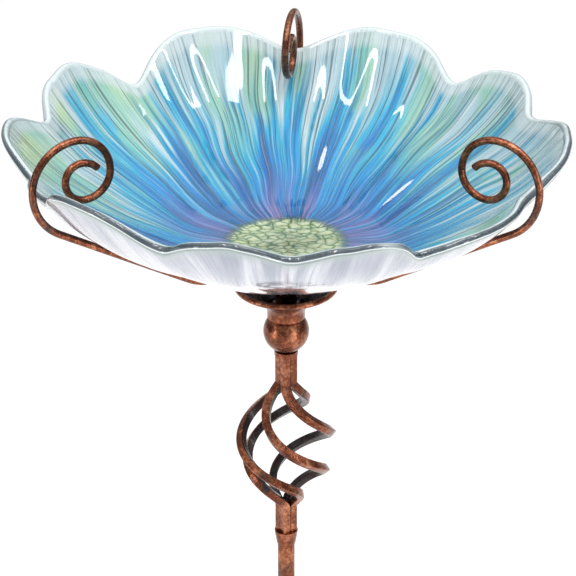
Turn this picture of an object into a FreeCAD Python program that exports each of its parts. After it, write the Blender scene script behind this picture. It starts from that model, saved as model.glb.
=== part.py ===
import FreeCAD, Part
import math
import os

import Sketcher
from FreeCAD import Placement, Rotation, Vector

# Garden bird bath: a fluted glass bowl in a three-arm scroll cradle, which lifts off a stud above
# a drip dish, a ball and a twisted basket, on a stake of three plug-together pole sections.
# The origin is on the pole's axis at the ground line, +Z is up, and the front is towards -Y.

DIMENSIONS = {
    # stake
    "pole_radius": 4.75,
    "pole_wall": 1.15,
    "lower_pole_sunk": 25.0,
    "lower_pole_above": 160.0,
    "middle_pole_length": 162.5,
    "upper_pole_length": 165.5,
    "joiner_depth": 28.0,
    "joiner_ring_height": 2.5,
    "joiner_ring_lip": 0.85,
    "fit_clearance": 0.05,
    "spike_radius": 4.5,
    "spike_plug": 30.0,
    "spike_shank": 82.0,
    "spike_point": 24.0,
    "prong_radius": 2.6,
    "prong_spread": 38.0,
    "prong_bend": 14.0,
    "prong_level": 9.0,
    "prong_depth": 78.0,
    "prong_point": 14.0,
    # twisted basket
    "collar_margin": 0.1,
    "collar_lip_wall": 0.55,
    "collar_grip": 6.0,
    "collar_cap": 2.0,
    "bar_side": 4.5,
    "bar_corner": 0.7,
    "lower_bundle": 16.0,
    "basket_height": 77.0,
    "upper_bundle": 17.5,
    "basket_radius": 25.6,
    "basket_fullness": 1.22,
    "basket_turn": 270.0,
    "basket_lag": 9.0,
    "basket_start": -8.0,
    # stud, ball, dish and nut
    "upper_collar_height": 2.5,
    "edge_break": 1.0,
    "stud_radius": 4.0,
    "ball_radius": 12.45,
    "dish_wall": 1.2,
    "dish_neck_radius": 10.2,
    "dish_lip_radius": 26.6,
    "dish_lip_rise": 16.6,
    "dish_lip_bead": 1.6,
    "dish_flare_share": 0.62,
    "nut_flats": 13.0,
    "nut_height": 4.5,
    # cradle
    "socket_wall": 1.95,
    "socket_length": 19.8,
    "stud_headroom": 1.0,
    "hub_radius": 15.0,
    "hub_height": 8.0,
    "arm_radius": 2.0,
    "arm_socket_depth": 6.0,
    "arm_rim_gap": 3.7,
    "arm_crest_drop": 0.5,
    "arm_heel_overhang": 4.3,
    "arm_heel_radius": 30.0,
    "arm_knee_radius": 29.0,
    "scroll_tail_radius": 12.0,
    "scroll_tail_turn": 50.0,
    "back_scroll_twist": -8.0,
    "back_crest_drop": 4.0,
    "pad_radius": 13.0,
    "pad_height": 2.0,
    # glass bowl
    "glass_thickness": 4.8,
    "bowl_base_radius": 48.0,
    "bowl_disc_radius": 30.0,
    "bowl_wall_rise": 67.0,
    "bowl_rim_radius": 149.5,
    "bowl_wall_inset": 3.0,
    "petal_shoulder": 1.5,
    "petal_notch_depth": 13.0,
    "arm_notch_depth": 8.0,
}

# quarter-turn radii of the scroll, from the arm's outermost point inwards
SCROLL_RADII = (24.5, 19.5, 14.0, 11.5, 9.0)
ARM_DIRECTIONS = {"back": 87.0, "left": 210.0, "right": 330.0}
# compass of the rim: direction of each notch, from the back and clockwise seen from above
NOTCH_DIRECTIONS = (3.0, 44.0, 73.0, 119.0, 150.0, 179.0, 205.0, 241.0, 287.0, 320.0)
ARM_NOTCHES = (3.0, 119.0, 241.0)
# bowl wall outside the base, as shares of the wall's run and of its rise
WALL_STATIONS = ((0.10, 0.035), (0.23, 0.13), (0.38, 0.26), (0.53, 0.39), (0.68, 0.51),
                 (0.81, 0.65), (0.91, 0.80), (0.97, 0.92), (1.05, 1.08))

doc = FreeCAD.newDocument("BirdBath")
sheet = doc.addObject("Spreadsheet::Sheet", "Dims")
for row, (alias, value) in enumerate(DIMENSIONS.items(), start=1):
    sheet.set(f"A{row}", alias)
    sheet.set(f"B{row}", str(value))
    sheet.setAlias(f"B{row}", alias)
doc.recompute()


def size(alias):
    """Value of one driving dimension."""
    return float(sheet.get(alias))


def cell(alias):
    """Expression that reads one driving dimension."""
    return f"Dims.{alias}"


# heights, each an expression built on the piece below it
bore = f"({cell('pole_radius')} - {cell('pole_wall')})"
pin_radius = f"({bore} - {cell('fit_clearance')})"
lower_joint = cell("lower_pole_above")
middle_base = f"({lower_joint} + {cell('joiner_ring_height')})"
upper_joint = f"({middle_base} + {cell('middle_pole_length')})"
upper_base = f"({upper_joint} + {cell('joiner_ring_height')})"
pole_top = f"({upper_base} + {cell('upper_pole_length')})"
basket_floor = f"({pole_top} + {cell('collar_cap')})"
bundle_top = (f"({basket_floor} + {cell('lower_bundle')} + {cell('basket_height')}"
              f" + {cell('upper_bundle')})")
ball_seat = f"({bundle_top} + {cell('upper_collar_height')})"
stud_bore = f"({cell('stud_radius')} + {cell('fit_clearance')})"
ball_half = f"sqrt({cell('ball_radius')} ^ 2 - {stud_bore} ^ 2)"
ball_centre = f"({ball_seat} + {ball_half})"
dish_floor = f"({ball_centre} + {ball_half})"
nut_seat = f"({dish_floor} + {cell('dish_wall')})"
socket_base = f"({nut_seat} + {cell('nut_height')})"
hub_base = f"({socket_base} + {cell('socket_length')})"
hub_top = f"({hub_base} + {cell('hub_height')})"
bowl_base = f"({hub_top} + {cell('pad_height')})"


def value_of(expression):
    """Number that an expression on the sheet gives."""
    return float(sheet.evalExpression(expression))


subparts = []


def finish(item, name):
    """Give a sub-part its name and put it on the list of what is written."""
    item.Label = name
    subparts.append(item)
    return item


def bind(item, **expressions):
    for key, expression in expressions.items():
        item.setExpression(key, expression)
    return item


def raise_to(item, expression):
    """Place an object on the pole's axis at a height."""
    item.setExpression("Placement.Base.z", expression)
    return item


def cylinder(name, radius, height, base):
    tool = doc.addObject("Part::Cylinder", name)
    return raise_to(bind(tool, Radius=radius, Height=height), base)


def cut(name, base, tool):
    result = doc.addObject("Part::Cut", name)
    result.Base = base
    result.Tool = tool
    return result


def turned(name, base, profile):
    """Body of revolution: profile points are (radius, height above the base) expressions."""
    body = doc.addObject("PartDesign::Body", name)
    sketch = body.newObject("Sketcher::SketchObject", f"{name}_profile")
    plane = next(item for item in body.Origin.OriginFeatures if item.Role == "XZ_Plane")
    sketch.AttachmentSupport = [(plane, "")]
    sketch.MapMode = "FlatFace"
    corners = [Vector(value_of(radius), value_of(height), 0) for radius, height in profile]
    for index, corner in enumerate(corners):
        following = corners[(index + 1) % len(corners)]
        sketch.addGeometry(Part.LineSegment(corner, following))
    for index in range(len(corners)):
        following = (index + 1) % len(corners)
        sketch.addConstraint(Sketcher.Constraint("Coincident", index, 2, following, 1))
    for index, (radius, height) in enumerate(profile):
        place_point(sketch, index, "DistanceX", radius, -2)
        place_point(sketch, index, "DistanceY", height, -1)
    feature = body.newObject("PartDesign::Revolution", f"{name}_turning")
    feature.Profile = sketch
    feature.ReferenceAxis = (sketch, ["V_Axis"])
    feature.Angle = 360.0
    raise_to(body, base)
    return finish(body, name)


def place_point(sketch, index, kind, expression, axis):
    """Tie a sketch line's first point to an expression, or to the axis where it is zero."""
    amount = value_of(expression)
    if expression == "0":
        sketch.addConstraint(Sketcher.Constraint("PointOnObject", index, 1, axis))
        return
    number = sketch.addConstraint(Sketcher.Constraint(kind, -1, 1, index, 1, amount))
    sketch.setExpression(f"Constraints[{number}]", expression)


def tube(name, outer, inner, base, length):
    return turned(name, base, [(inner, "0"), (outer, "0"), (outer, length), (inner, length)])


def rod_along(name, wire, radius):
    """Round rod swept along a wire, from a circle square to the wire's start."""
    spine = doc.addObject("Part::Feature", f"{name}_spine")
    spine.Shape = wire
    first = wire.Edges[0]
    start = first.valueAt(first.FirstParameter)
    heading = first.tangentAt(first.FirstParameter)
    ring = doc.addObject("Part::Circle", f"{name}_section")
    ring.Placement = Placement(start, Rotation(Vector(0, 0, 1), heading))
    bind(ring, Radius=radius)
    sweep = doc.addObject("Part::Sweep", f"{name}_sweep")
    sweep.Sections = [ring]
    sweep.Spine = (spine, [])
    sweep.Solid = True
    return sweep


def arc(centre, radius, start, stop):
    """Arc edge in the XZ plane, from one angle to another in degrees, either way round."""
    def point(angle):
        turn = math.radians(angle)
        return centre + Vector(radius * math.cos(turn), 0, radius * math.sin(turn))
    return Part.Arc(point(start), point((start + stop) / 2), point(stop)).toShape()


# ---------------------------------------------------------------- stake
def make_stake():
    outer = cell("pole_radius")
    sunk = cell("lower_pole_sunk")
    tube("lower_pole", outer, bore, f"-{sunk}", f"{sunk} + {lower_joint}")
    tube("middle_pole", outer, bore, middle_base, cell("middle_pole_length"))
    tube("upper_pole", outer, bore, upper_base, cell("upper_pole_length"))
    make_joiner("lower_joiner", lower_joint)
    make_joiner("upper_joiner", upper_joint)
    spike = cell("spike_radius")
    shank = f"({cell('spike_point')} + {cell('spike_shank')})"
    top = f"({shank} + {cell('spike_plug')})"
    turned("centre_spike", f"-{sunk} - {shank}",
           [("0", "0"), (spike, cell("spike_point")), (spike, shank), (bore, shank),
            (bore, top), ("0", top)])
    for name, side in (("left", -1.0), ("right", 1.0)):
        make_prong(f"side_prong_{name}", side)


def make_joiner(name, joint):
    """Plug pin with a ring at its middle, loose in both poles."""
    depth = cell("joiner_depth")
    ring = f"({cell('pole_radius')} + {cell('joiner_ring_lip')})"
    over_ring = f"({depth} + {cell('joiner_ring_height')})"
    top = f"({over_ring} + {depth})"
    turned(name, f"{joint} - {depth}",
           [("0", "0"), (pin_radius, "0"), (pin_radius, depth), (ring, depth),
            (ring, over_ring), (pin_radius, over_ring), (pin_radius, top), ("0", top)])


def make_prong(name, side):
    """Bent side prong, coped to the pole, with a pointed end."""
    level = size("prong_level")
    bend = size("prong_bend")
    spread = size("prong_spread")
    point_top = level - size("prong_depth")
    run_end = spread - bend
    centre = Vector(run_end, 0, level - bend)
    wire = Part.Wire([
        Part.LineSegment(Vector(0, 0, level), Vector(run_end, 0, level)).toShape(),
        arc(centre, bend, 90, 0),
        Part.LineSegment(Vector(spread, 0, level - bend), Vector(spread, 0, point_top)).toShape(),
    ])
    turn = 0.0 if side > 0 else 180.0
    wire.rotate(Vector(0, 0, 0), Vector(0, 0, 1), turn)
    rod = rod_along(name, wire, cell("prong_radius"))
    tip = doc.addObject("Part::Cone", f"{name}_tip")
    bind(tip, Radius1="0", Radius2=cell("prong_radius"), Height=cell("prong_point"))
    raise_to(tip, f"{cell('prong_level')} - {cell('prong_depth')} - {cell('prong_point')}")
    tip.setExpression("Placement.Base.x", f"{side:+.0f} * {cell('prong_spread')}")
    whole = doc.addObject("Part::Fuse", f"{name}_whole")
    whole.Base = rod
    whole.Tool = tip
    reach = f"4 * {cell('prong_radius')}"
    cope = cylinder(f"{name}_cope", cell("pole_radius"), f"2 * {reach}",
                    f"{cell('prong_level')} - {reach}")
    finish(cut(name, whole, cope), name)


# ---------------------------------------------------------------- basket
def bar_turn(share):
    """Direction of a bar in radians at a share of the basket's height, from the top down."""
    swell = math.sin(math.pi * share) ** 2
    return math.radians(size("basket_start") + size("basket_turn") * share
                        - size("basket_lag") * swell)


def bar_centre(share):
    """Centre of the first bar of the basket at a share of its height, from the top down."""
    packed = size("bar_side") / math.sqrt(2)
    swell = math.sin(math.pi * share) ** size("basket_fullness")
    reach = packed + (size("basket_radius") - packed) * swell
    turn = bar_turn(share)
    top = value_of(bundle_top) - size("upper_bundle")
    return Vector(reach * math.cos(turn), reach * math.sin(turn),
                  top - size("basket_height") * share)


def square_section(centre, heading, turn):
    """Square wire with rounded corners across a bar, one corner towards the basket's axis."""
    outward = Vector(math.cos(turn), math.sin(turn), 0)
    across = heading.cross(outward).normalize()
    along = across.cross(heading).normalize()
    half = size("bar_side") / math.sqrt(2)
    rounding = size("bar_corner")
    edges = []
    for inner, outer in ((along, across), (across, -along), (-along, -across), (-across, along)):
        bend = centre + inner * (half - rounding * math.sqrt(2))
        side = (inner + outer).normalize() * rounding
        back = (inner - outer).normalize() * rounding
        edges.append(Part.Arc(bend + back, bend + inner * rounding, bend + side).toShape())
        following = centre + outer * (half - rounding * math.sqrt(2)) + side
        edges.append(Part.LineSegment(bend + side, following).toShape())
    return Part.Wire(edges)


def bar_shape():
    """Square bar: a straight end, the twisted swell and the other straight end."""
    stations = 28
    step = 0.001
    down = Vector(0, 0, -1)
    sections = []
    for station in range(stations + 1):
        share = station / stations
        before = bar_centre(max(share - step, 0.0))
        after = bar_centre(min(share + step, 1.0))
        heading = down if station in (0, stations) else (after - before).normalize()
        sections.append(square_section(bar_centre(share), heading, bar_turn(share)))
    twisted = Part.makeLoft(sections, True, False)
    upper = square_prism(bar_centre(0.0), bar_turn(0.0), size("upper_bundle"))
    lower = square_prism(bar_centre(1.0), bar_turn(1.0), -size("lower_bundle"))
    return twisted.fuse(upper).fuse(lower)


def square_prism(centre, turn, length):
    outline = square_section(centre, Vector(0, 0, -1), turn)
    return Part.Face(outline).extrude(Vector(0, 0, length))


def make_basket():
    for quarter in range(4):
        name = f"basket_bar_{quarter + 1}"
        bar = doc.addObject("Part::Feature", name)
        shape = bar_shape()
        shape.rotate(Vector(0, 0, 0), Vector(0, 0, 1), 90.0 * quarter)
        bar.Shape = shape
        finish(bar, name)
    grip = cell("collar_grip")
    height = f"({grip} + {cell('collar_cap')})"
    lip = f"({cell('pole_radius')} + {cell('collar_lip_wall')})"
    collar_radius = f"({cell('bar_side')} * sqrt(2) + {cell('collar_margin')})"
    turned("lower_collar", f"{pole_top} - {grip}",
           [(cell("pole_radius"), "0"), (lip, "0"),
            (collar_radius, f"{height} - {cell('edge_break')}"),
            (collar_radius, height), ("0", height), ("0", grip),
            (cell("pole_radius"), grip)])
    tube("upper_collar", collar_radius, stud_bore, bundle_top, cell("upper_collar_height"))


# ---------------------------------------------------------------- stud, ball, dish, nut
def make_stem_head():
    length = f"({hub_base} - {cell('stud_headroom')} - {bundle_top})"
    radius = cell("stud_radius")
    turned("support_stud", bundle_top,
           [("0", "0"), (radius, "0"), (radius, f"{length} - {cell('edge_break')}"),
            (f"{radius} - {cell('edge_break')}", length), ("0", length)])
    sphere = doc.addObject("Part::Sphere", "ball_blank")
    raise_to(bind(sphere, Radius=cell("ball_radius")), ball_centre)
    drill = cylinder("ball_drill", stud_bore, f"2 * {cell('ball_radius')}",
                     f"{ball_centre} - {cell('ball_radius')}")
    finish(cut("ball", sphere, drill), "ball")
    make_dish()
    blank = doc.addObject("Part::Prism", "nut_blank")
    blank.Polygon = 6
    bind(blank, Circumradius=f"{cell('nut_flats')} / 2 / cos(30)", Height=cell("nut_height"))
    raise_to(blank, nut_seat)
    tap = cylinder("nut_bore", stud_bore, cell("nut_height"), nut_seat)
    finish(cut("lock_nut", blank, tap), "lock_nut")


def make_dish():
    """Spun trumpet dish: a skirt round the ball, an inner floor, a flare and a rolled lip."""
    wall = size("dish_wall")
    neck = size("dish_neck_radius")
    lip = size("dish_lip_radius")
    bead = size("dish_lip_bead")
    floor = value_of(dish_floor)
    ball_level = value_of(ball_centre)
    skirt_seat = math.sqrt(size("ball_radius") ** 2 - (neck - wall) ** 2)
    skirt = ball_level + skirt_seat + size("fit_clearance")
    lip_level = floor + size("dish_lip_rise") - bead
    bulge = size("dish_flare_share")
    middle = Vector(neck + (lip - neck) * (1 - bulge), 0, skirt + (lip_level - skirt) * bulge)
    outer_curve = Part.BSplineCurve()
    outer_curve.interpolate([Vector(neck, 0, floor - 1), middle, Vector(lip, 0, lip_level)],
                            InitialTangent=Vector(0, 0, 1), FinalTangent=Vector(1, 0, 0.6))
    inner_middle = middle + Vector(-wall * 0.7, 0, wall * 0.7)
    inner_curve = Part.BSplineCurve()
    inner_start = Vector(neck + wall * 0.2, 0, floor + wall)
    inner_curve.interpolate([inner_start, inner_middle, Vector(lip, 0, lip_level + wall)],
                            InitialTangent=Vector(0.35, 0, 1), FinalTangent=Vector(1, 0, 0.6))
    hole = value_of(stud_bore)
    corners = [Vector(hole, 0, floor + wall), Vector(hole, 0, floor),
               Vector(neck - wall, 0, floor), Vector(neck - wall, 0, skirt),
               Vector(neck, 0, skirt), Vector(neck, 0, floor - 1)]
    edges = [Part.LineSegment(first, second).toShape()
             for first, second in zip(corners, corners[1:])]
    edges.append(outer_curve.toShape())
    edges.append(Part.LineSegment(Vector(lip, 0, lip_level),
                                  Vector(lip, 0, lip_level + wall)).toShape())
    edges.append(inner_curve.toShape())
    edges.append(Part.LineSegment(inner_start, corners[0]).toShape())
    profile = Part.Face(Part.Wire(Part.__sortEdges__(edges)))
    spun = profile.revolve(Vector(0, 0, 0), Vector(0, 0, 1), 360)
    roll = Part.makeTorus(lip, bead, Vector(0, 0, lip_level + wall / 2))
    dish = doc.addObject("Part::Feature", "drip_dish")
    dish.Shape = spun.fuse(roll)
    finish(dish, "drip_dish")


# ---------------------------------------------------------------- cradle
def rim_radius(depth):
    """Radius of the bowl's outline at a notch."""
    return size("bowl_rim_radius") - size(depth)


def arm_wire(crest_drop, twist):
    """Centreline of an arm in the XZ plane: out of the hub, up the bowl and into the scroll."""
    level = value_of(hub_base) + size("hub_height") / 2
    heel = size("arm_heel_radius")
    knee = size("arm_knee_radius")
    reach = rim_radius("arm_notch_depth") + size("arm_rim_gap") + size("arm_radius")
    crest = value_of(bowl_base) + size("bowl_wall_rise") - crest_drop
    start = Vector(size("hub_radius") - size("arm_socket_depth"), 0, level)
    knee_centre = Vector(reach - knee, 0, crest)
    # the sloped run leaves the level run at this corner, which the heel rounds off, and
    # touches the knee's circle from below
    corner = Vector(size("bowl_base_radius") + size("arm_heel_overhang"), 0, level)
    sight = knee_centre - corner
    slope = math.atan2(sight.z, sight.x) - math.asin(knee / sight.Length)
    knee_start = knee_centre + Vector(knee * math.sin(slope), 0, -knee * math.cos(slope))
    heel_start = corner - Vector(heel * math.tan(slope / 2), 0, 0)
    heel_centre = heel_start + Vector(0, 0, heel)
    heel_end = heel_centre + Vector(heel * math.sin(slope), 0, -heel * math.cos(slope))
    foot = -90.0 + math.degrees(slope)
    edges = [
        Part.LineSegment(start, heel_start).toShape(),
        arc(heel_centre, heel, -90, foot),
        Part.LineSegment(heel_end, knee_start).toShape(),
        arc(knee_centre, knee, foot, 0),
    ]
    outermost = Vector(reach, 0, crest)
    at = outermost
    angle = 0.0
    bends = [(radius, 90.0) for radius in SCROLL_RADII]
    bends.append((size("scroll_tail_radius"), size("scroll_tail_turn")))
    for radius, bend in bends:
        turn = math.radians(angle)
        centre = at - Vector(radius * math.cos(turn), 0, radius * math.sin(turn))
        angle += bend
        curl = arc(centre, radius, angle - bend, angle)
        turn = math.radians(angle)
        at = centre + Vector(radius * math.cos(turn), 0, radius * math.sin(turn))
        # the scroll turns as a whole about the upright line where it leaves the arm
        curl.rotate(outermost, Vector(0, 0, 1), twist)
        edges.append(curl)
    return Part.Wire(edges)


def make_cradle():
    hub = cylinder("hub_blank", cell("hub_radius"), cell("hub_height"), hub_base)
    for name, direction in ARM_DIRECTIONS.items():
        wire = arm_wire(size("arm_crest_drop"), 0.0)
        if name == "back":
            wire = arm_wire(size("back_crest_drop"), size("back_scroll_twist"))
        wire.rotate(Vector(0, 0, 0), Vector(0, 0, 1), direction)
        finish(rod_along(f"scroll_arm_{name}", wire, cell("arm_radius")), f"scroll_arm_{name}")
        drill = cylinder(f"hub_drill_{name}", cell("arm_radius"), cell("hub_radius"), "0")
        turn = math.radians(direction)
        outward = Vector(math.cos(turn), math.sin(turn), 0)
        drill.Placement = Placement(Vector(0, 0, 0), Rotation(Vector(0, 0, 1), outward))
        inner = f"({cell('hub_radius')} - {cell('arm_socket_depth')})"
        drill.setExpression("Placement.Base.x", f"{inner} * cos({direction})")
        drill.setExpression("Placement.Base.y", f"{inner} * sin({direction})")
        drill.setExpression("Placement.Base.z", f"{hub_base} + {cell('hub_height')} / 2")
        hub = cut(f"hub_after_{name}", hub, drill)
    finish(hub, "cradle_hub")
    tube("hub_socket", f"({stud_bore} + {cell('socket_wall')})", stud_bore, socket_base,
         cell("socket_length"))
    pad = cylinder("rest_pad", cell("pad_radius"), cell("pad_height"), hub_top)
    finish(pad, "rest_pad")


# ---------------------------------------------------------------- bowl
def wall_points(offset):
    """Points of the bowl's wall in the XZ plane, moved inwards by an offset."""
    base = value_of(bowl_base)
    radius = size("bowl_base_radius")
    run = size("bowl_rim_radius") - size("bowl_wall_inset") - radius
    rise = size("bowl_wall_rise")
    outer = [Vector(radius, 0, base)]
    outer += [Vector(radius + run * out, 0, base + rise * up) for out, up in WALL_STATIONS]
    moved = []
    for index, point in enumerate(outer):
        before = outer[max(index - 1, 0)]
        after = outer[min(index + 1, len(outer) - 1)]
        heading = (after - before).normalize()
        moved.append(point + Vector(-heading.z, 0, heading.x) * offset)
    return moved


def curve_through(points):
    """Smooth curve through points, leaving and arriving along their end runs."""
    leaving = (points[1] - points[0]).normalize()
    arriving = (points[-1] - points[-2]).normalize()
    spline = Part.BSplineCurve()
    spline.interpolate(points, InitialTangent=leaving, FinalTangent=arriving)
    return spline.toShape()


def rim_outline():
    """Closed outline of the petals, seen from above: tips and notches joined by a smooth curve."""
    shoulder = size("bowl_rim_radius") - size("petal_shoulder")
    points = []
    closing = (NOTCH_DIRECTIONS[0] + 360.0,)
    for first, second in zip(NOTCH_DIRECTIONS, NOTCH_DIRECTIONS[1:] + closing):
        notch = rim_radius("arm_notch_depth" if first in ARM_NOTCHES else "petal_notch_depth")
        quarter = (second - first) / 4
        for direction, radius in ((first, notch), (first + quarter, shoulder),
                                  (second - quarter, shoulder)):
            turn = math.radians(90.0 - direction)
            points.append(Vector(radius * math.cos(turn), radius * math.sin(turn), 0))
    spline = Part.BSplineCurve()
    spline.interpolate(Points=points, PeriodicFlag=True)
    return Part.Face(Part.Wire(spline.toShape()))


def make_bowl():
    """Turned glass shell, trimmed to the outline of its petals."""
    base = value_of(bowl_base)
    floor = base + size("glass_thickness")
    outside = wall_points(0.0)
    inside = [Vector(size("bowl_disc_radius"), 0, floor)] + wall_points(size("glass_thickness"))[2:]
    edges = [
        Part.LineSegment(Vector(0, 0, base), outside[0]).toShape(),
        curve_through(outside),
        Part.LineSegment(outside[-1], inside[-1]).toShape(),
        curve_through(inside),
        Part.LineSegment(inside[0], Vector(0, 0, floor)).toShape(),
        Part.LineSegment(Vector(0, 0, floor), Vector(0, 0, base)).toShape(),
    ]
    profile = Part.Face(Part.Wire(Part.__sortEdges__(edges)))
    shell = profile.revolve(Vector(0, 0, 0), Vector(0, 0, 1), 360)
    trim = rim_outline()
    trim.translate(Vector(0, 0, base - 1))
    block = trim.extrude(Vector(0, 0, 2 * size("bowl_wall_rise")))
    bowl = doc.addObject("Part::Feature", "glass_bowl")
    bowl.Shape = shell.common(block)
    finish(bowl, "glass_bowl")


make_stake()
make_basket()
make_stem_head()
make_cradle()
make_bowl()
doc.recompute()

for item in doc.Objects:
    if "Invalid" in item.State or "Error" in item.State:
        raise RuntimeError(f"{item.Name} failed: {item.State}")
os.makedirs("parts", exist_ok=True)
for item in subparts:
    if item.Shape.isNull() or not item.Shape.isValid():
        raise RuntimeError(f"{item.Label} has no valid shape")
for item in subparts:
    item.Shape.exportStep(os.path.join("parts", f"{item.Label}.step"))
    print(f"{item.Label}: {item.Shape.Volume:.0f} mm3, {len(item.Shape.Solids)} solid(s)")
print(f"{len(subparts)} sub-parts")
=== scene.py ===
import bmesh
import bpy
import math
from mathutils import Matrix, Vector, noise


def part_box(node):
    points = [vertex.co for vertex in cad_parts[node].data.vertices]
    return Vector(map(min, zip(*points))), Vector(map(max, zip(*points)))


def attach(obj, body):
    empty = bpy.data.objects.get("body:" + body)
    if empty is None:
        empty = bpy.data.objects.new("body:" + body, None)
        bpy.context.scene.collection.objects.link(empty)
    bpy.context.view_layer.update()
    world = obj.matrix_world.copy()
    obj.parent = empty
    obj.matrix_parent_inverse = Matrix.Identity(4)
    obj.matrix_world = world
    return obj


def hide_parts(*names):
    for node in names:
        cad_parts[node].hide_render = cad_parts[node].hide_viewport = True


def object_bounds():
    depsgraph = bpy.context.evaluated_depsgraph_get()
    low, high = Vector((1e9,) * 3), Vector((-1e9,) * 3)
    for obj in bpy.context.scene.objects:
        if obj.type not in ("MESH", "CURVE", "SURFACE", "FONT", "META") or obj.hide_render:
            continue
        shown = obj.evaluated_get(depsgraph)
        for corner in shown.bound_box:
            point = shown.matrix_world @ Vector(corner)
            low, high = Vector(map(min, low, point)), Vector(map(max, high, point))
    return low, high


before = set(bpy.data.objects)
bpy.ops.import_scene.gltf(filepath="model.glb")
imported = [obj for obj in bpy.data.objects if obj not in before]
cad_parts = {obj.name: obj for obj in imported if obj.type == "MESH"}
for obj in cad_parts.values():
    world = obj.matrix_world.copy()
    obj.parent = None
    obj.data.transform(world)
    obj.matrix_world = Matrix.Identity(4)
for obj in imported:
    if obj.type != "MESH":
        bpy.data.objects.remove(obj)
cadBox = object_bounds()
print("frame loaded")

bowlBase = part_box("glass_bowl")[0][2]
wallRise = 0.067
rimCentre = Vector((0, 0, bowlBase + wallRise))

cameraPlace = {
    "distance": 1.60,
    "elevation": 23.5,
    "lens": 190.5,
    "drop": 2.85,      # degrees the view points under the rim's centre
    "aside": 0.0010,   # metres the view stands to the right of the pole
}


def makeCamera(place):
    tilt = math.radians(place["elevation"])
    aim = math.radians(place["elevation"] + place["drop"])
    lens = bpy.data.cameras.new("mainCamera")
    lens.lens = place["lens"]
    lens.clip_end = 50
    camera = bpy.data.objects.new("mainCamera", lens)
    bpy.context.scene.collection.objects.link(camera)
    back = Vector((0, -math.cos(tilt), math.sin(tilt))) * place["distance"]
    camera.location = rimCentre + back + Vector((place["aside"], 0, 0))
    camera.rotation_euler = (math.pi / 2 - aim, 0, 0)
    bpy.context.scene.camera = camera


makeCamera(cameraPlace)
print("camera placed")


class Shader:
    def __init__(self, name):
        self.material = bpy.data.materials.new(name)
        self.material.use_nodes = True
        self.tree = self.material.node_tree
        self.tree.nodes.clear()
        self.out = self.tree.nodes.new("ShaderNodeOutputMaterial")
        self.surface = self.tree.nodes.new("ShaderNodeBsdfPrincipled")
        self.tree.links.new(self.surface.outputs[0], self.out.inputs[0])
        spot = self.tree.nodes.new("ShaderNodeTexCoord").outputs
        self.place, self.normal = spot["Object"], spot["Normal"]

    def link(self, value, socket):
        if isinstance(value, bpy.types.NodeSocket):
            self.tree.links.new(value, socket)
        else:
            socket.default_value = value

    def math(self, operation, first, second=0.0):
        node = self.tree.nodes.new("ShaderNodeMath")
        node.operation = operation
        self.link(first, node.inputs[0])
        self.link(second, node.inputs[1])
        return node.outputs[0]

    def times(self, first, second):
        return self.math("MULTIPLY", first, second)

    def plus(self, first, second):
        return self.math("ADD", first, second)

    def vector(self, operation, first, second=(0, 0, 0)):
        node = self.tree.nodes.new("ShaderNodeVectorMath")
        node.operation = operation
        self.link(first, node.inputs[0])
        self.link(second, node.inputs[3] if operation == "SCALE" else node.inputs[1])
        return node.outputs["Value"] if operation == "LENGTH" else node.outputs[0]

    def split(self, vector):
        node = self.tree.nodes.new("ShaderNodeSeparateXYZ")
        self.link(vector, node.inputs[0])
        return node.outputs

    def join(self, x, y, z):
        node = self.tree.nodes.new("ShaderNodeCombineXYZ")
        for value, socket in zip((x, y, z), node.inputs):
            self.link(value, socket)
        return node.outputs[0]

    def noise(self, place, scale, detail=2.0, roughness=0.5):
        node = self.tree.nodes.new("ShaderNodeTexNoise")
        self.link(place, node.inputs["Vector"])
        self.link(scale, node.inputs["Scale"])
        self.link(detail, node.inputs["Detail"])
        self.link(roughness, node.inputs["Roughness"])
        return node.outputs["Fac"]

    def span(self, value, low, high, start=0.0, end=1.0):
        node = self.tree.nodes.new("ShaderNodeMapRange")
        node.interpolation_type = "SMOOTHSTEP"
        for item, socket in zip((value, low, high, start, end), node.inputs):
            self.link(item, socket)
        return node.outputs[0]

    def rise(self, value, start, end):
        if start < end:
            return self.span(value, start, end)
        return self.span(value, end, start, 1.0, 0.0)

    def ramp(self, value, stops):
        node = self.tree.nodes.new("ShaderNodeValToRGB")
        band = node.color_ramp
        while len(band.elements) < len(stops):
            band.elements.new(0.5)
        for element, (spot, colour) in zip(band.elements, stops):
            element.position = spot
            element.color = (*colour, 1)
        self.link(value, node.inputs[0])
        return node.outputs[0]

    def mix(self, share, first, second):
        node = self.tree.nodes.new("ShaderNodeMix")
        node.data_type = "RGBA"
        self.link(share, node.inputs[0])
        self.link((*first, 1) if isinstance(first, tuple) else first, node.inputs[6])
        self.link((*second, 1) if isinstance(second, tuple) else second, node.inputs[7])
        return node.outputs[2]

    def bump(self, height, distance, strength=1.0, under=None):
        node = self.tree.nodes.new("ShaderNodeBump")
        self.link(strength, node.inputs["Strength"])
        self.link(distance, node.inputs["Distance"])
        self.link(height, node.inputs["Height"])
        if under is not None:
            self.link(under, node.inputs["Normal"])
        return node.outputs[0]

    def put(self, values):
        for name, value in values.items():
            socket = self.surface.inputs[name]
            self.link((*value, 1) if isinstance(value, tuple) else value, socket)


copperTone = {
    "bright": (0.66, 0.28, 0.15),
    "body": (0.205, 0.060, 0.027),
    "deep": (0.085, 0.024, 0.014),
    # dark patina colour, also used for the painted shade on the sides that face the pole
    "patinaAndShade": (0.010, 0.008, 0.009),
    "grain": 620.0,
    "mottle": 105.0,
    "patches": 34.0,
    "mottleShare": 0.62,     # the grain takes the rest of the blend
    "speckStrength": 0.8,
    "patinaAndShadeMetal": 0.4,      # how metallic the darkest patina and painted shade still are
    "gloss": (0.17, 0.36),
    "hammerDepth": 0.0012,
    "grainDepth": 0.00035,
}


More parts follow.
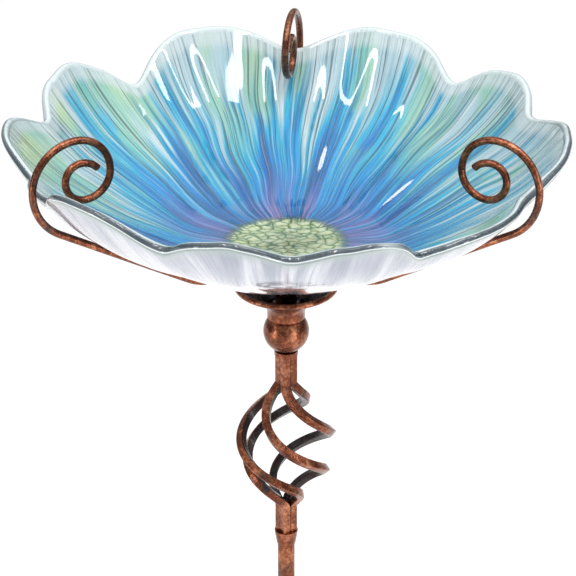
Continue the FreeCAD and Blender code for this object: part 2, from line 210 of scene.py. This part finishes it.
def makeCopper(name, tone, poleShade):
    shader = Shader(name)
    patches = shader.noise(shader.place, tone["patches"], 4, 0.6)
    mottle = shader.noise(shader.place, tone["mottle"], 5, 0.65)
    grain = shader.noise(shader.place, tone["grain"], 3, 0.6)
    share = tone["mottleShare"]
    blend = shader.plus(shader.times(mottle, share), shader.times(grain, 1 - share))
    colour = shader.ramp(blend, named(tone, ((0.36, "deep"), (0.50, "body"), (0.70, "bright"))))
    stainAndShade = shader.times(shader.rise(patches, 0.50, 0.66), shader.rise(mottle, 0.40, 0.60))
    specks = shader.times(shader.rise(blend, 0.43, 0.36), tone["speckStrength"])
    stainAndShade = shader.math("MAXIMUM", stainAndShade, specks)
    # painted shade: sides that face the pole are darkened towards the patina colour
    facing = shader.tree.nodes.new("ShaderNodeVectorMath")
    facing.operation = "DOT_PRODUCT"
    shader.link(shader.normal, facing.inputs[0])
    shader.link(fromPole(shader), facing.inputs[1])
    outward = shader.plus(facing.outputs["Value"], centred(shader, mottle, 0.5))
    inwardShade = shader.rise(outward, 0.02, -0.30)
    stainAndShade = shader.math("MAXIMUM", stainAndShade, shader.times(inwardShade, poleShade))
    hammer = shader.bump(mottle, tone["hammerDepth"], 0.4)
    shader.put({
        "Base Color": shader.mix(stainAndShade, colour, tone["patinaAndShade"]),
        "Metallic": shader.span(stainAndShade, 0.0, 1.0, 1.0, tone["patinaAndShadeMetal"]),
        "Roughness": shader.span(mottle, 0.3, 0.7, *tone["gloss"]),
        "Normal": shader.bump(grain, tone["grainDepth"], 0.6, hammer),
        "Coat Weight": 0.15,
        "Coat Roughness": 0.16,
    })
    return shader.material


def named(tone, stops):
    return [(spot, tone[name]) for spot, name in stops]


def fromPole(shader):
    return shader.vector("NORMALIZE", shader.vector("MULTIPLY", shader.place, (1, 1, 0)))


def centred(shader, value, reach):
    return shader.times(shader.math("SUBTRACT", value, 0.5), reach)


steelTone = {"dark": (0.05, 0.045, 0.04), "light": (0.22, 0.19, 0.17), "grain": 900.0}


def makeSteel(tone):
    shader = Shader("stemSteel")
    grain = shader.noise(shader.place, tone["grain"], 3, 0.6)
    shader.put({
        "Base Color": shader.ramp(grain, named(tone, ((0.3, "dark"), (0.7, "light")))),
        "Metallic": 0.9,
        "Roughness": shader.span(grain, 0.3, 0.7, 0.3, 0.5),
        "Normal": shader.bump(grain, 0.0002, 0.4),
    })
    return shader.material


rubberTone = {"dark": (0.012, 0.012, 0.013), "light": (0.05, 0.05, 0.052), "grain": 1400.0}


def makePad(tone):
    shader = Shader("restRubber")
    grain = shader.noise(shader.place, tone["grain"], 3, 0.6)
    shader.put({
        "Base Color": shader.ramp(grain, named(tone, ((0.3, "dark"), (0.7, "light")))),
        "Roughness": 0.7,
        "Normal": shader.bump(grain, 0.0002, 0.5),
    })
    return shader.material


def wear(material, nodes):
    for node in nodes:
        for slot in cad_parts[node].material_slots:
            slot.material = material


plainNodes = {"glass_bowl", "rest_pad", "support_stud", "lock_nut"}
armNodes = {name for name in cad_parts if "arm" in name}
# the last number is how strongly painted shade darkens the sides that face the pole
wear(makeCopper("antiqueCopper", copperTone, 0.95), set(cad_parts) - plainNodes - armNodes)
wear(makeCopper("rubbedCopper", copperTone, 0.35), armNodes)
wear(makeSteel(steelTone), ["support_stud", "lock_nut"])
wear(makePad(rubberTone), ["rest_pad"])
print("metal dressed")


bowlForm = {
    "around": 660,
    "across": 132,
    "thickness": 0.0048,
    "discRadius": 0.030,
    "wallStart": 0.055,
    "wallEase": 0.008,
    "wallSlope": 0.575,
    "flareStart": 0.112,
    "flareRise": 0.0167,
    "flareRun": 0.039,
    "rimShare": 0.035,     # part of the profile that goes round the rim's edge, each way
    "notchRound": 0.6,
    "ringSpread": 0.8,     # under one puts more rings near the rim
    "pleatDepth": 0.0020,  # fall of the wall from mid petal to notch
    "pleatZone": (0.045, 0.115),
    "foldDepth": 0.0032,   # broad folds, about one and a half per petal
    "foldCount": 3.6,
    "ribDepth": 0.0016,    # narrow ribs between the folds
    "ribCount": 10.0,
    "foldZone": (0.036, 0.085),
    "foldFade": 0.55,      # share of the folds that dies down at the edge
    "foldSway": 9.0,       # degrees that a fold bends on its way out
    "swayStart": 0.09,     # radius where a fold is on its own line
    "swayRun": 0.06,
    "outsideShare": 0.35,  # depth of the outside's folds against the inside's
    "rimWander": 0.0011,
    "dimpleDepth": 0.0011,
    "dimpleScale": 190.0,
    "dimpleStretch": 1.6,
    "discSink": 0.0006,
    "discEdge": 0.006,
}

# petals clockwise from the back: start in degrees, radius of the notch there, tip radius, tip lift
petals = (
    (2.0, 0.1403, 0.1500, 0.0),
    (43.8, 0.1368, 0.1482, 0.0),
    (73.0, 0.1402, 0.1495, 0.0),
    (119.0, 0.1415, 0.1425, -0.0035),
    (150.0, 0.1345, 0.1495, 0.0),
    (179.0, 0.1430, 0.1510, 0.0),
    (205.5, 0.1410, 0.1520, 0.0035),
    (241.0, 0.1405, 0.1395, 0.0),
    (256.0, 0.1380, 0.1490, 0.0),
    (287.0, 0.1380, 0.1497, 0.0),
    (320.3, 0.1340, 0.1502, 0.0),
)


def rimAt(direction, form):
    turn = (direction - petals[0][0]) % 360 + petals[0][0]
    index = max(i for i, petal in enumerate(petals) if petal[0] <= turn)
    petal, following = petals[index], petals[(index + 1) % len(petals)]
    across = (turn - petal[0]) / ((following[0] - petal[0]) % 360)
    swell = math.sin(math.pi * across) ** 2
    bump = swell * (1 + form["notchRound"]) / (swell + form["notchRound"])
    notch = petal[1] + (following[1] - petal[1]) * across
    wander = form["rimWander"] * ringNoise(direction, 7.0, 3.0) * bump
    return notch + (petal[2] - notch) * bump + wander, petal[3] * bump, bump


def ringNoise(direction, count, drift):
    turn = math.radians(direction)
    return noise.noise(Vector((math.cos(turn) * count, math.sin(turn) * count, drift)))


def wallHeight(radius, form):
    run = radius - form["wallStart"]
    soft = (math.hypot(run, form["wallEase"]) + run) / 2
    ground = (math.hypot(form["wallStart"], form["wallEase"]) - form["wallStart"]) / 2
    flare = max(0.0, (radius - form["flareStart"]) / form["flareRun"])
    return form["wallSlope"] * (soft - ground) + form["flareRise"] * flare ** 2


def easeIn(value, start, end):
    share = min(1.0, max(0.0, (value - start) / (end - start)))
    return share * share * (3 - 2 * share)


def shapeBowl(turn, along, form):
    direction = 90 - math.degrees(turn)
    rim, lift, bump = rimAt(direction, form)
    half = form["thickness"] / 2
    plainEnd = 0.5 - form["rimShare"]
    share, side, swing = 1.0, 0, 0.0
    if along < plainEnd:
        share, side = along / plainEnd, -1
    elif along > 1 - plainEnd:
        share, side = (1 - along) / plainEnd, 1
    else:
        swing = (along - 0.5) / form["rimShare"] * math.pi / 2
    share = share ** form["ringSpread"]
    reach = share * (rim - half)
    step = 0.0005
    slope = 0.0
    if reach > step:
        slope = (wallHeight(reach + step, form) - wallHeight(reach - step, form)) / (2 * step)
    grade = math.atan(slope)
    # folds and ribs fan out from the disc, bend a little on the way and die down at the edge
    sway = form["foldSway"] * (reach - form["swayStart"]) / form["swayRun"]
    bend = direction + sway * ringNoise(direction, 1.2, 8.0)
    grow = easeIn(reach, *form["foldZone"]) * (1 - form["foldFade"] * easeIn(share, 0.9, 1.0))
    fold = form["foldDepth"] * ringNoise(bend, form["foldCount"], reach * 7)
    fold += form["ribDepth"] * ringNoise(bend, form["ribCount"], reach * 16)
    fold = fold * grow - form["pleatDepth"] * (bump - 0.6) * easeIn(reach, *form["pleatZone"])
    middle = wallHeight(reach, form) + half / math.cos(grade) + lift * share ** 5
    if side:
        push = side * half + fold * (form["outsideShare"] if side < 0 else 1.0)
        radius = max(reach - push * math.sin(grade), 0.0)
        height = middle + push * math.cos(grade)
    else:
        level = 0.5 - swing / math.pi
        fold *= 1 - (1 - form["outsideShare"]) * level
        radius = reach + half * math.cos(swing + grade) - fold * math.sin(grade)
        height = middle + half * math.sin(swing + grade) + fold * math.cos(grade)
    inside = form["discRadius"] + form["discEdge"] / 2 - reach
    if side > 0 and inside > 0:
        edge = easeIn(inside, 0.0, form["discEdge"])
        spot = Vector((math.cos(turn) * reach, math.sin(turn) * reach * form["dimpleStretch"], 0))
        dimple = form["dimpleDepth"] * noise.noise(spot * form["dimpleScale"])
        height += edge * (dimple - form["discSink"])
    return Vector((radius * math.cos(turn), radius * math.sin(turn), bowlBase + height))


def makeBowl(form):
    mesh = bmesh.new()
    bmesh.ops.create_grid(mesh, x_segments=form["around"], y_segments=form["across"], size=1)
    profile = mesh.loops.layers.uv.new("profile")
    for face in mesh.faces:
        for corner in face.loops:
            corner[profile].uv = ((corner.vert.co.x + 1) / 2, (corner.vert.co.y + 1) / 2)
    for vertex in mesh.verts:
        vertex.co = shapeBowl(vertex.co.x * math.pi, (vertex.co.y + 1) / 2, form)
    for face in mesh.faces:
        face.smooth = True
        along = sum(corner[profile].uv[1] for corner in face.loops) / len(face.loops)
        face.material_index = 1 if along > 0.5 + form["rimShare"] else 0
    bmesh.ops.remove_doubles(mesh, verts=mesh.verts, dist=0.00001)
    bmesh.ops.recalc_face_normals(mesh, faces=mesh.faces)
    data = bpy.data.meshes.new("flutedBowl")
    mesh.to_mesh(data)
    mesh.free()
    bowl = bpy.data.objects.new("flutedBowl", data)
    bpy.context.scene.collection.objects.link(bowl)
    return bowl


glassTone = {
    "cobalt": (0.006, 0.10, 0.36),
    "azure": (0.006, 0.22, 0.56),
    "royal": (0.010, 0.28, 0.60),
    "turquoise": (0.02, 0.37, 0.56),
    "teal": (0.008, 0.15, 0.26),
    "pale": (0.16, 0.43, 0.56),
    "ice": (0.34, 0.50, 0.56),
    "clear": (0.54, 0.62, 0.63),
    "leaf": (0.22, 0.50, 0.34),
    "straw": (0.54, 0.64, 0.34),
    "violet": (0.22, 0.20, 0.50),
    "rose": (0.46, 0.28, 0.48),
    "groove": (0.045, 0.10, 0.13),
    "marginLine": (0.36, 0.46, 0.46),
    "discLine": (0.10, 0.20, 0.09),
    "discLeaf": (0.34, 0.46, 0.22),
    "discGlow": (0.60, 0.70, 0.42),
    "discPale": (0.80, 0.85, 0.64),
    "discRing": (0.04, 0.12, 0.10),
    "frostShade": (0.25, 0.28, 0.36),
    "frost": (0.40, 0.42, 0.50),
    "frostLight": (0.58, 0.60, 0.66),
    "flute": (0.24, 0.28, 0.36),
    # rim colours: painted reflection, highlight and shade of the clear glass edge
    "rimFoot": (0.34, 0.41, 0.40),
    "rimShade": (0.22, 0.29, 0.28),
    "rimStep": (0.42, 0.50, 0.48),
    "rimGlint": (0.92, 0.95, 0.95),
    "rimEdge": (0.07, 0.10, 0.12),
    "rimDarkReflection": (0.018, 0.034, 0.046),
    "rimFade": (0.05, 0.09, 0.11),
    "rimLine": (0.16, 0.22, 0.23),
}

# how strongly the drawn lines and the margin cover what is under them
glassCover = {"groove": 0.72, "discRing": 0.6, "margin": 0.8, "flute": 0.6}
reliefDepth = 0.0022

# each kind of streak: count, change with the distance outwards, detail
streakKinds = {
    "broad": (2.6, 9.0, 2.0),
    "patch": (5.5, 16.0, 2.0),
    "medium": (11.0, 9.0, 3.0),
    "fine": (34.0, 12.0, 3.0),
    "hair": (80.0, 9.0, 2.0),
    "frostBroad": (14.0, 12.0, 3.0),
    "frostFine": (52.0, 10.0, 3.0),
    "rimWave": (7.0, 0.0, 1.0),
    "rimMood": (4.0, 0.0, 1.0),
}

# how far each kind moves the end of a brush stroke, in metres
brushSway = {"medium": 0.17, "fine": 0.11, "broad": 0.06}
brushLength = 0.16
brushStops = ((0.20, "cobalt"), (0.36, "azure"), (0.49, "royal"),
              (0.59, "turquoise"), (0.67, "pale"), (0.78, "ice"))

# paint over the strokes, in order: streak, values it shows between, distances, strength, tone;
# a falling pair fades out instead of in
paintLayers = (
    ("fine", (0.54, 0.66), (0.040, 0.100), 0.62, "clear"),
    ("patch", (0.51, 0.61), (0.060, 0.120), 0.66, "leaf"),
    ("broad", (0.50, 0.60), (0.116, 0.140), 0.72, "straw"),
    ("medium", (0.46, 0.36), (0.125, 0.085), 0.60, "cobalt"),
    ("patch", (0.48, 0.40), (0.080, 0.050), 0.42, "violet"),
    ("fine", (0.54, 0.62), (0.062, 0.040), 0.45, "rose"),
    ("fine", (0.45, 0.36), (0.140, 0.110), 0.65, "teal"),
)

discStops = ((0.0, "discLine"), (0.06, "discLeaf"), (0.16, "discGlow"), (0.5, "discPale"))
frostStops = ((0.36, "frostShade"), (0.5, "frost"), (0.62, "frostLight"))

# painted reflection, highlight and shade of the clear rim edge, across the rim from its outer lower edge
# to the inside
rimStops = (
    (0.0, "rimFoot"), (0.12, "rimShade"), (0.19, "rimStep"), (0.23, "rimGlint"), (0.29, "rimEdge"),
    (0.48, "rimDarkReflection"), (0.64, "rimFade"), (0.72, "clear"), (0.90, "clear"), (1.0, "rimLine"),
)


def fanField(shader):
    flat = shader.vector("MULTIPLY", shader.place, (1, 1, 0))
    wander = shader.tree.nodes.new("ShaderNodeTexNoise")
    shader.link(flat, wander.inputs["Vector"])
    wander.inputs["Scale"].default_value = 16.0
    wander.inputs["Detail"].default_value = 1.0
    shift = shader.vector("SUBTRACT", wander.outputs["Color"], (0.5, 0.5, 0.5))
    bent = shader.vector("ADD", flat, shader.vector("SCALE", shift, 0.016))
    heading = shader.vector("NORMALIZE", shader.vector("MULTIPLY", bent, (1, 1, 0)))
    return shader.vector("LENGTH", flat), heading


def streaks(shader, field, count, drift, detail):
    radius, heading = field
    parts = shader.split(shader.vector("SCALE", heading, count))
    spot = shader.join(parts[0], parts[1], shader.times(radius, drift))
    return shader.noise(spot, 1.0, detail, 0.55)


def profileAlong(shader):
    node = shader.tree.nodes.new("ShaderNodeUVMap")
    node.uv_map = "profile"
    return shader.split(node.outputs[0])[1]


def makeDisc(shader, tone):
    ripple = shader.tree.nodes.new("ShaderNodeTexVoronoi")
    ripple.feature = "DISTANCE_TO_EDGE"
    shader.link(shader.vector("MULTIPLY", shader.place, (1, 1.7, 0)), ripple.inputs["Vector"])
    ripple.inputs["Scale"].default_value = 150.0
    unrest = centred(shader, shader.noise(shader.place, 260.0, 3), 0.25)
    return shader.ramp(shader.plus(ripple.outputs["Distance"], unrest), named(tone, discStops))


def makeInnerGlass(tone, form):
    shader = Shader("paintedGlass")
    field = fanField(shader)
    radius = field[0]
    kinds = ("broad", "patch", "medium", "fine", "hair")
    marks = {kind: streaks(shader, field, *streakKinds[kind]) for kind in kinds}
    # brush strokes of colour: each ends at its own distance from the middle
    reach = radius
    for kind, sway in brushSway.items():
        reach = shader.plus(reach, centred(shader, marks[kind], sway))
    colour = shader.ramp(shader.math("DIVIDE", reach, brushLength), named(tone, brushStops))
    for kind, shown, distances, strength, name in paintLayers:
        cover = shader.times(shader.rise(marks[kind], *shown), shader.rise(radius, *distances))
        colour = shader.mix(shader.times(cover, strength), colour, tone[name])
    lines = shader.times(shader.rise(marks["hair"], 0.44, 0.37), shader.rise(radius, 0.035, 0.07))
    colour = shader.mix(shader.times(lines, glassCover["groove"]), colour, tone["groove"])
    # hammered disc in the middle, with a dark ring round it
    border = shader.plus(radius, centred(shader, marks["fine"], 0.010))
    colour = shader.mix(shader.rise(border, 0.034, 0.029), colour, makeDisc(shader, tone))
    ring = shader.times(shader.rise(border, 0.028, 0.031), shader.rise(border, 0.036, 0.032))
    colour = shader.mix(shader.times(ring, glassCover["discRing"]), colour, tone["discRing"])
    # clear margin along the edge
    rimEnd = 0.5 + form["rimShare"]
    edge = shader.rise(profileAlong(shader), rimEnd + 0.030, rimEnd + 0.012)
    margin = shader.mix(lines, tone["clear"], tone["marginLine"])
    colour = shader.mix(shader.times(edge, glassCover["margin"]), colour, margin)
    relief = shader.plus(shader.times(marks["fine"], 2.2), marks["hair"])
    shader.put({
        "Base Color": colour,
        "Roughness": 0.14,
        "Normal": shader.bump(relief, reliefDepth, 0.8),
        "Coat Weight": 1.0,
        "Coat Roughness": 0.04,
        "Coat IOR": 1.5,
        "Specular IOR Level": 0.15,
    })
    return shader.material


def paintRimReflection(shader, field, along, tone, start, end):
    # painted reflections of the clear rim: a dark line, a white glint and grey bands
    wave = streaks(shader, field, *streakKinds["rimWave"])
    wave = shader.plus(along, centred(shader, wave, 0.016))
    across = shader.math("DIVIDE", shader.math("SUBTRACT", wave, start), end - start)
    band = shader.ramp(across, named(tone, rimStops))
    # the painted dark reflection line fades towards the back of the bowl and in a few other places
    pale = shader.span(shader.split(shader.place)[1], -0.03, 0.07, 0.0, 0.8)
    mood = streaks(shader, field, *streakKinds["rimMood"])
    pale = shader.math("MAXIMUM", pale, shader.span(mood, 0.30, 0.40, 0.6, 0.0))
    return shader.mix(pale, band, tone["clear"])


def makeOuterGlass(tone, form):
    shader = Shader("frostedGlass")
    field = fanField(shader)
    medium = streaks(shader, field, *streakKinds["frostBroad"])
    fine = streaks(shader, field, *streakKinds["frostFine"])
    colour = shader.ramp(medium, named(tone, frostStops))
    flutes = shader.times(shader.rise(fine, 0.47, 0.38), glassCover["flute"])
    colour = shader.mix(flutes, colour, tone["flute"])
    along = profileAlong(shader)
    start, end = 0.5 - form["rimShare"], 0.5 + form["rimShare"]
    band = paintRimReflection(shader, field, along, tone, start, end)
    # painted reflection: the outer wall just under the rim turns darker grey-green, continuing the rim
    # bands
    shade = shader.span(along, start - 0.020, start - 0.004, 0.0, 0.55)
    under = shader.mix(shade, colour, tone["rimFoot"])
    relief = shader.plus(medium, shader.times(fine, 0.6))
    shader.put({
        "Base Color": shader.mix(shader.rise(along, start - 0.003, start + 0.002), under, band),
        "Roughness": 0.2,
        "Normal": shader.bump(relief, reliefDepth, 0.7),
        "Coat Weight": 1.0,
        "Coat Roughness": 0.05,
    })
    return shader.material


bowl = makeBowl(bowlForm)
bowl.data.materials.append(makeOuterGlass(glassTone, bowlForm))
bowl.data.materials.append(makeInnerGlass(glassTone, bowlForm))
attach(bowl, "bowl")
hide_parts("glass_bowl")
print("bowl blown")


studio = {
    "floorDrop": 0.02,
    "floorSize": 30.0,
    "floorColour": (0.95, 0.95, 0.95),
    "sky": 1.3,
    "skyLow": (0.05, (0.07, 0.075, 0.085)),
    "skyHigh": (0.85, (1.0, 1.0, 1.0)),
}

# place, aim, width and length in metres, watts
lamps = {
    "leftStrip": ((-0.42, -0.45, 2.15), (-0.42, 0.1, 0.70), (0.10, 1.2), 6.5),
    "rightStrip": ((0.34, -0.45, 2.15), (0.34, 0.1, 0.70), (0.10, 1.2), 6.5),
    "farStrip": ((1.0, -0.2, 1.9), (0.6, 0.1, 0.70), (0.10, 1.2), 6.5),
    "leftSide": ((-1.5, -1.0, 0.5), (0, 0, 0.5), (0.25, 1.1), 7.0),
    "rightSide": ((1.3, -1.3, 0.5), (0, 0, 0.5), (0.18, 1.1), 7.0),
}


def makeLamp(name, place, aim, size, power):
    lamp = bpy.data.lights.new(name, "AREA")
    lamp.shape = "RECTANGLE"
    lamp.size, lamp.size_y = size
    lamp.energy = power
    holder = bpy.data.objects.new(name, lamp)
    bpy.context.scene.collection.objects.link(holder)
    holder.location = place
    holder.rotation_euler = (Vector(aim) - Vector(place)).to_track_quat("-Z", "Y").to_euler()


def makeStage(values):
    mesh = bmesh.new()
    bmesh.ops.create_grid(mesh, x_segments=8, y_segments=8, size=values["floorSize"] / 2)
    bmesh.ops.translate(mesh, verts=mesh.verts, vec=(0, 0, cadBox[0][2] - values["floorDrop"]))
    data = bpy.data.meshes.new("paleFloor")
    mesh.to_mesh(data)
    mesh.free()
    floor = bpy.data.objects.new("paleFloor", data)
    bpy.context.scene.collection.objects.link(floor)
    shader = Shader("paleFloor")
    shader.put({"Base Color": values["floorColour"], "Roughness": 0.9})
    data.materials.append(shader.material)
    world = bpy.data.worlds.new("paleRoom")
    world.use_nodes = True
    sky = world.node_tree.nodes["Background"]
    sky.inputs[1].default_value = values["sky"]
    height = world.node_tree.nodes.new("ShaderNodeSeparateXYZ")
    heading = world.node_tree.nodes.new("ShaderNodeTexCoord")
    shade = world.node_tree.nodes.new("ShaderNodeValToRGB")
    for element, (spot, colour) in zip(shade.color_ramp.elements, (values["skyLow"], values["skyHigh"])):
        element.position = spot
        element.color = (*colour, 1)
    world.node_tree.links.new(heading.outputs["Generated"], height.inputs[0])
    world.node_tree.links.new(height.outputs[2], shade.inputs[0])
    world.node_tree.links.new(shade.outputs[0], sky.inputs[0])
    bpy.context.scene.world = world


makeStage(studio)
for lampName, lampValues in lamps.items():
    makeLamp(lampName, *lampValues)
bpy.context.scene.view_settings.view_transform = "Standard"
print("studio lit")
